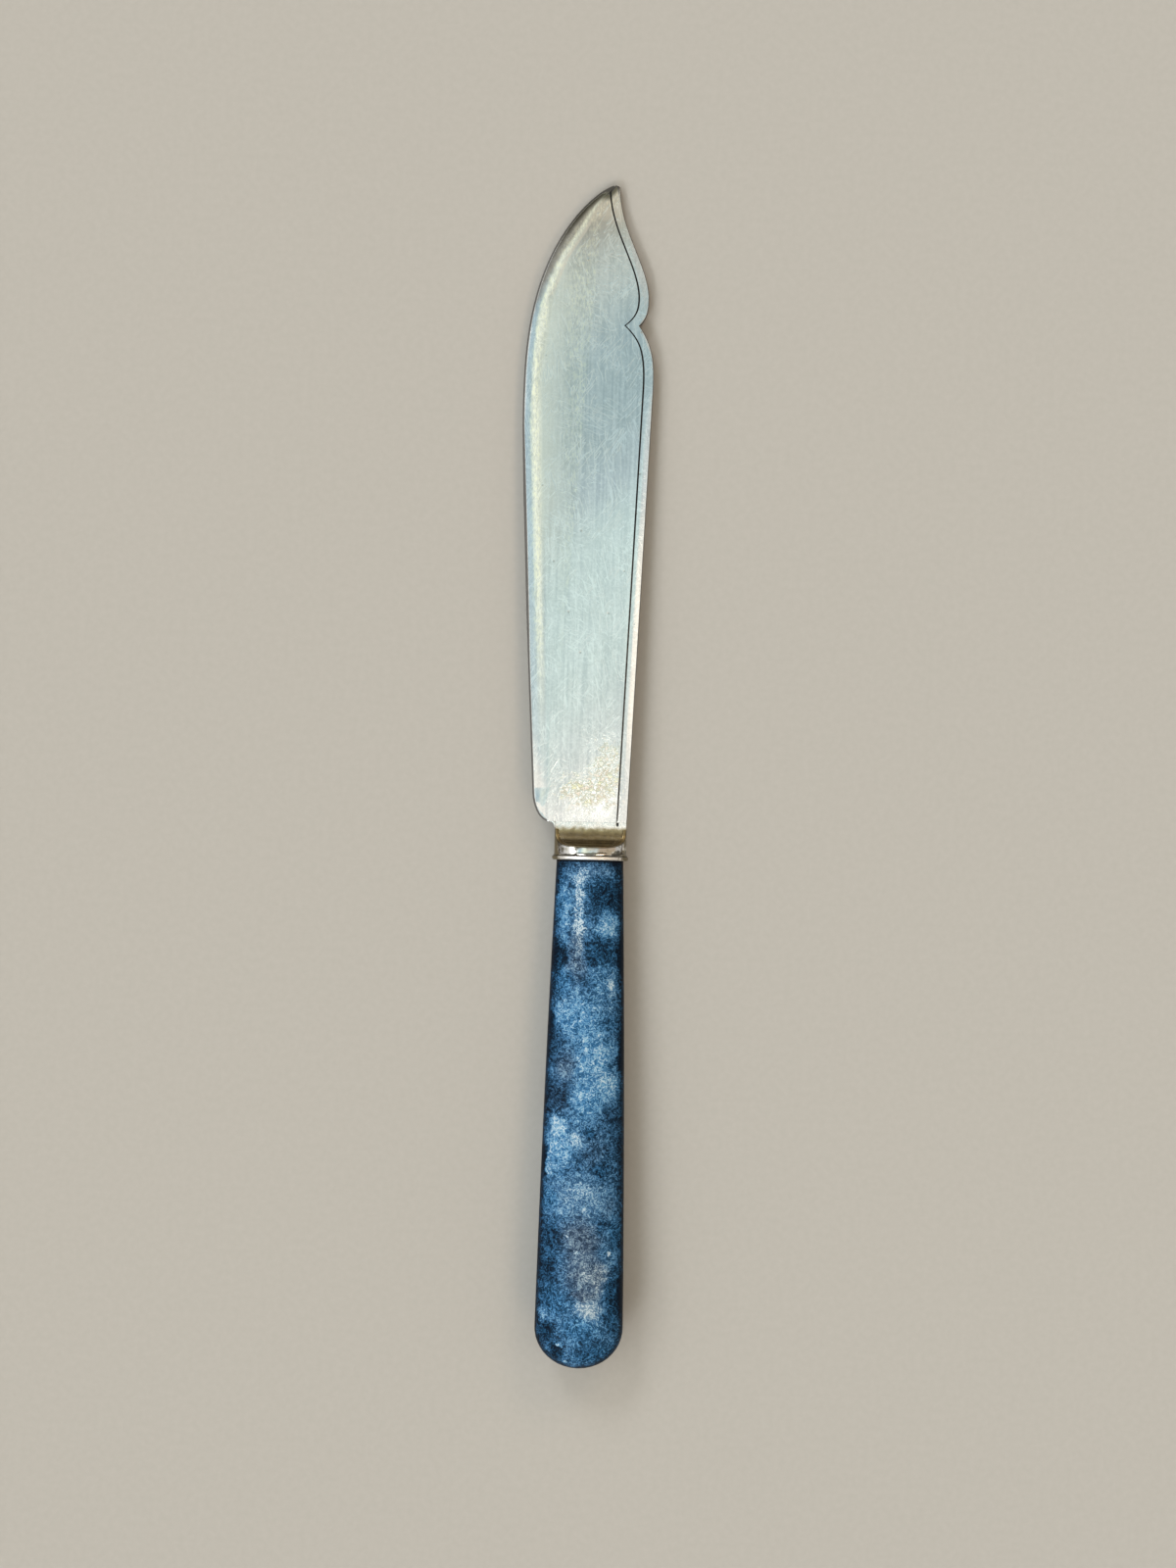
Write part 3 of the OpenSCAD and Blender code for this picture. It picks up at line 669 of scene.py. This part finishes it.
# East side: a card that the rubbed strip along the back mirrors, and a warm wall, greyer low down.
WARM_WALL, GREY_WALL = (0.44, 0.36, 0.27), (0.46, 0.445, 0.42)
card_off = either_way(tree, minus(tree, slope_n, 0.13))
back_card = times(tree, slot_of(slope_e, 0.035, 0.075, 0.3, 0.5), between(tree, card_off, 0.2, 0.15))
back_card_tones = shades(
    tree, spaced(slope_n, 0.0, 0.3),
    (0.18, (0.72, 0.80, 0.84)), (0.26, (1.32, 1.22, 1.06)), (0.45, (1.27, 1.2, 1.06)),
    (0.55, (0.72, 0.80, 0.80)), (0.86, (0.55, 0.62, 0.61)))
surround = laid_over(tree, back_card, surround, back_card_tones)
sideways = times(tree, either_way(tree, slope_n), 0.6)
warm_side = laid_over(tree, between(tree, high, 0.5, 0.36), WARM_WALL, GREY_WALL)
surround = laid_over(tree, between(tree, minus(tree, slope_e, sideways), 0.1, 0.35), surround, warm_side)
# Big soft window to the west, behind a narrow strip that the ground edge of the blade mirrors.
STRIP_MIDDLE = 0.16
window = shades(
    tree, spaced(west, 0.0, 4.0),
    (0.1, (3.7, 3.65, 3.55)), (0.26, (3.7, 3.65, 3.55)), (0.33, (0.8, 0.79, 0.76)),
    (0.75, (0.4, 0.39, 0.38)))
strip = shades(
    tree, spaced(west, 0.0, 1.0),
    (0.04, (0.86, 0.97, 0.86)), (0.15, (0.97, 1.03, 0.89)), (0.30, (0.95, 1.02, 0.88)),
    (0.40, (0.74, 0.86, 0.81)), (0.455, (0.53, 0.68, 0.73)), (0.57, (0.51, 0.665, 0.725)),
    (0.595, (0.86, 0.95, 0.95)), (0.69, (0.9, 0.98, 0.97)), (0.74, (0.08, 0.07, 0.06)),
    (1.0, (0.05, 0.04, 0.035)))
strip_off = minus(tree, slope_n, STRIP_MIDDLE)
strip_off = larger(tree, times(tree, strip_off, -1.0), times(tree, strip_off, 0.45))
strip_off = minus(tree, strip_off, times(tree, larger(tree, west, 0.0), 0.05))
in_strip = between(tree, strip_off, 0.17, 0.14)
along_strip = times(tree, in_strip, between(tree, slope_n, 0.46, 0.32))
north_part = times(tree, between(tree, slope_n, 0.25, 0.32), between(tree, west, 0.95, 0.78))
past_strip = larger(tree, times(tree, in_strip, between(tree, west, 0.8, 0.72)), north_part)
surround = laid_over(tree, times(tree, between(tree, west, 0.005, 0.24), along_strip), surround, strip)
lit = times(tree, between(tree, minus(tree, west, sideways), 0.2, 0.5), minus(tree, 1.0, past_strip))
surround = laid_over(tree, lit, surround, window)
# Four tall panes beyond both ends of the knife, bright ones to the west and dimmer ones to the east.
WEST_PANE, EAST_PANE = (11.2, 11.3, 11.4), (5.6, 4.35, 3.1)
endwise = either_way(tree, minus(tree, slope_n, 0.12))
tall = slot_of(endwise, 0.74, 0.84, 1.4, 1.7)
surround = laid_over(tree, times(tree, tall, slot_of(west, 0.34, 0.42, 0.76, 0.86)), surround, WEST_PANE)
surround = laid_over(tree, times(tree, tall, slot_of(slope_e, 0.32, 0.40, 0.78, 0.9)), surround, EAST_PANE)
# Cards for single places: the round heel, the collar's band, and the glints of the etched patch.
HEEL_CARD, BAND_CARD = (0.74, 0.86, 0.85), (1.15, 1.12, 1.03)
GLINT_CARD, HOT_CARD = (1.0, 1.0, 0.95), (4.0, 3.75, 3.2)
heel_card = between(tree, around(tree, slope_e, slope_n, -0.33, -0.28, 0.56, 0.5), 1.1, 0.85)
heel_card = times(tree, heel_card, between(tree, west, 0.04, 0.12), between(tree, slope_n, 0.15, 0.03))
surround = laid_over(tree, heel_card, surround, HEEL_CARD)
band_off = reckon(tree, "MULTIPLY_ADD", larger(tree, slope_e, 0.0), -0.08, either_way(tree, slope_n))
band_card = times(tree, between(tree, band_off, 0.06, 0.045),
                  between(tree, either_way(tree, slope_e), 2.8, 2.2))
surround = laid_over(tree, band_card, surround, BAND_CARD)
glint_card = around(tree, slope_e, slope_n, 0.001, 0.05, 0.016, 0.014)
surround = laid_over(tree, between(tree, glint_card, 1.5, 0.2), surround, GLINT_CARD)
hot_card = around(tree, slope_e, slope_n, 0.002, 0.057, 0.004, 0.005)
surround = laid_over(tree, between(tree, hot_card, 1.5, 0.5), surround, HOT_CARD)
# Towards the floor the room is dim, but behind the table the camera sees it as pale as the sheet.
DIM_FLOOR, PALE_BEHIND = (0.12, 0.10, 0.085), (0.54, 0.51, 0.45)
surround = laid_over(tree, between(tree, high, 0.22, 0.08), surround, DIM_FLOOR)
surround = laid_over(tree, put(tree, "LightPath").outputs["Is Camera Ray"], surround, PALE_BEHIND)
tree.links.new(surround, backdrop.inputs["Color"])
backdrop.inputs["Strength"].default_value = 1.0

# Camera: half a metre straight above the knife, and turned a little, so that the knife leans
# clockwise in the picture.

LENS, SENSOR, TURNED = 66, 36, 1.41
camera = bpy.data.objects.new("camera", bpy.data.cameras.new("camera"))
bpy.context.scene.collection.objects.link(camera)
camera.location = (0.00162, -0.00182, 0.5012)
camera.rotation_euler = (0, 0, math.radians(TURNED))
camera.data.lens = LENS
camera.data.sensor_width = SENSOR
bpy.context.scene.camera = camera
bpy.context.scene.view_settings.view_transform = "Standard"
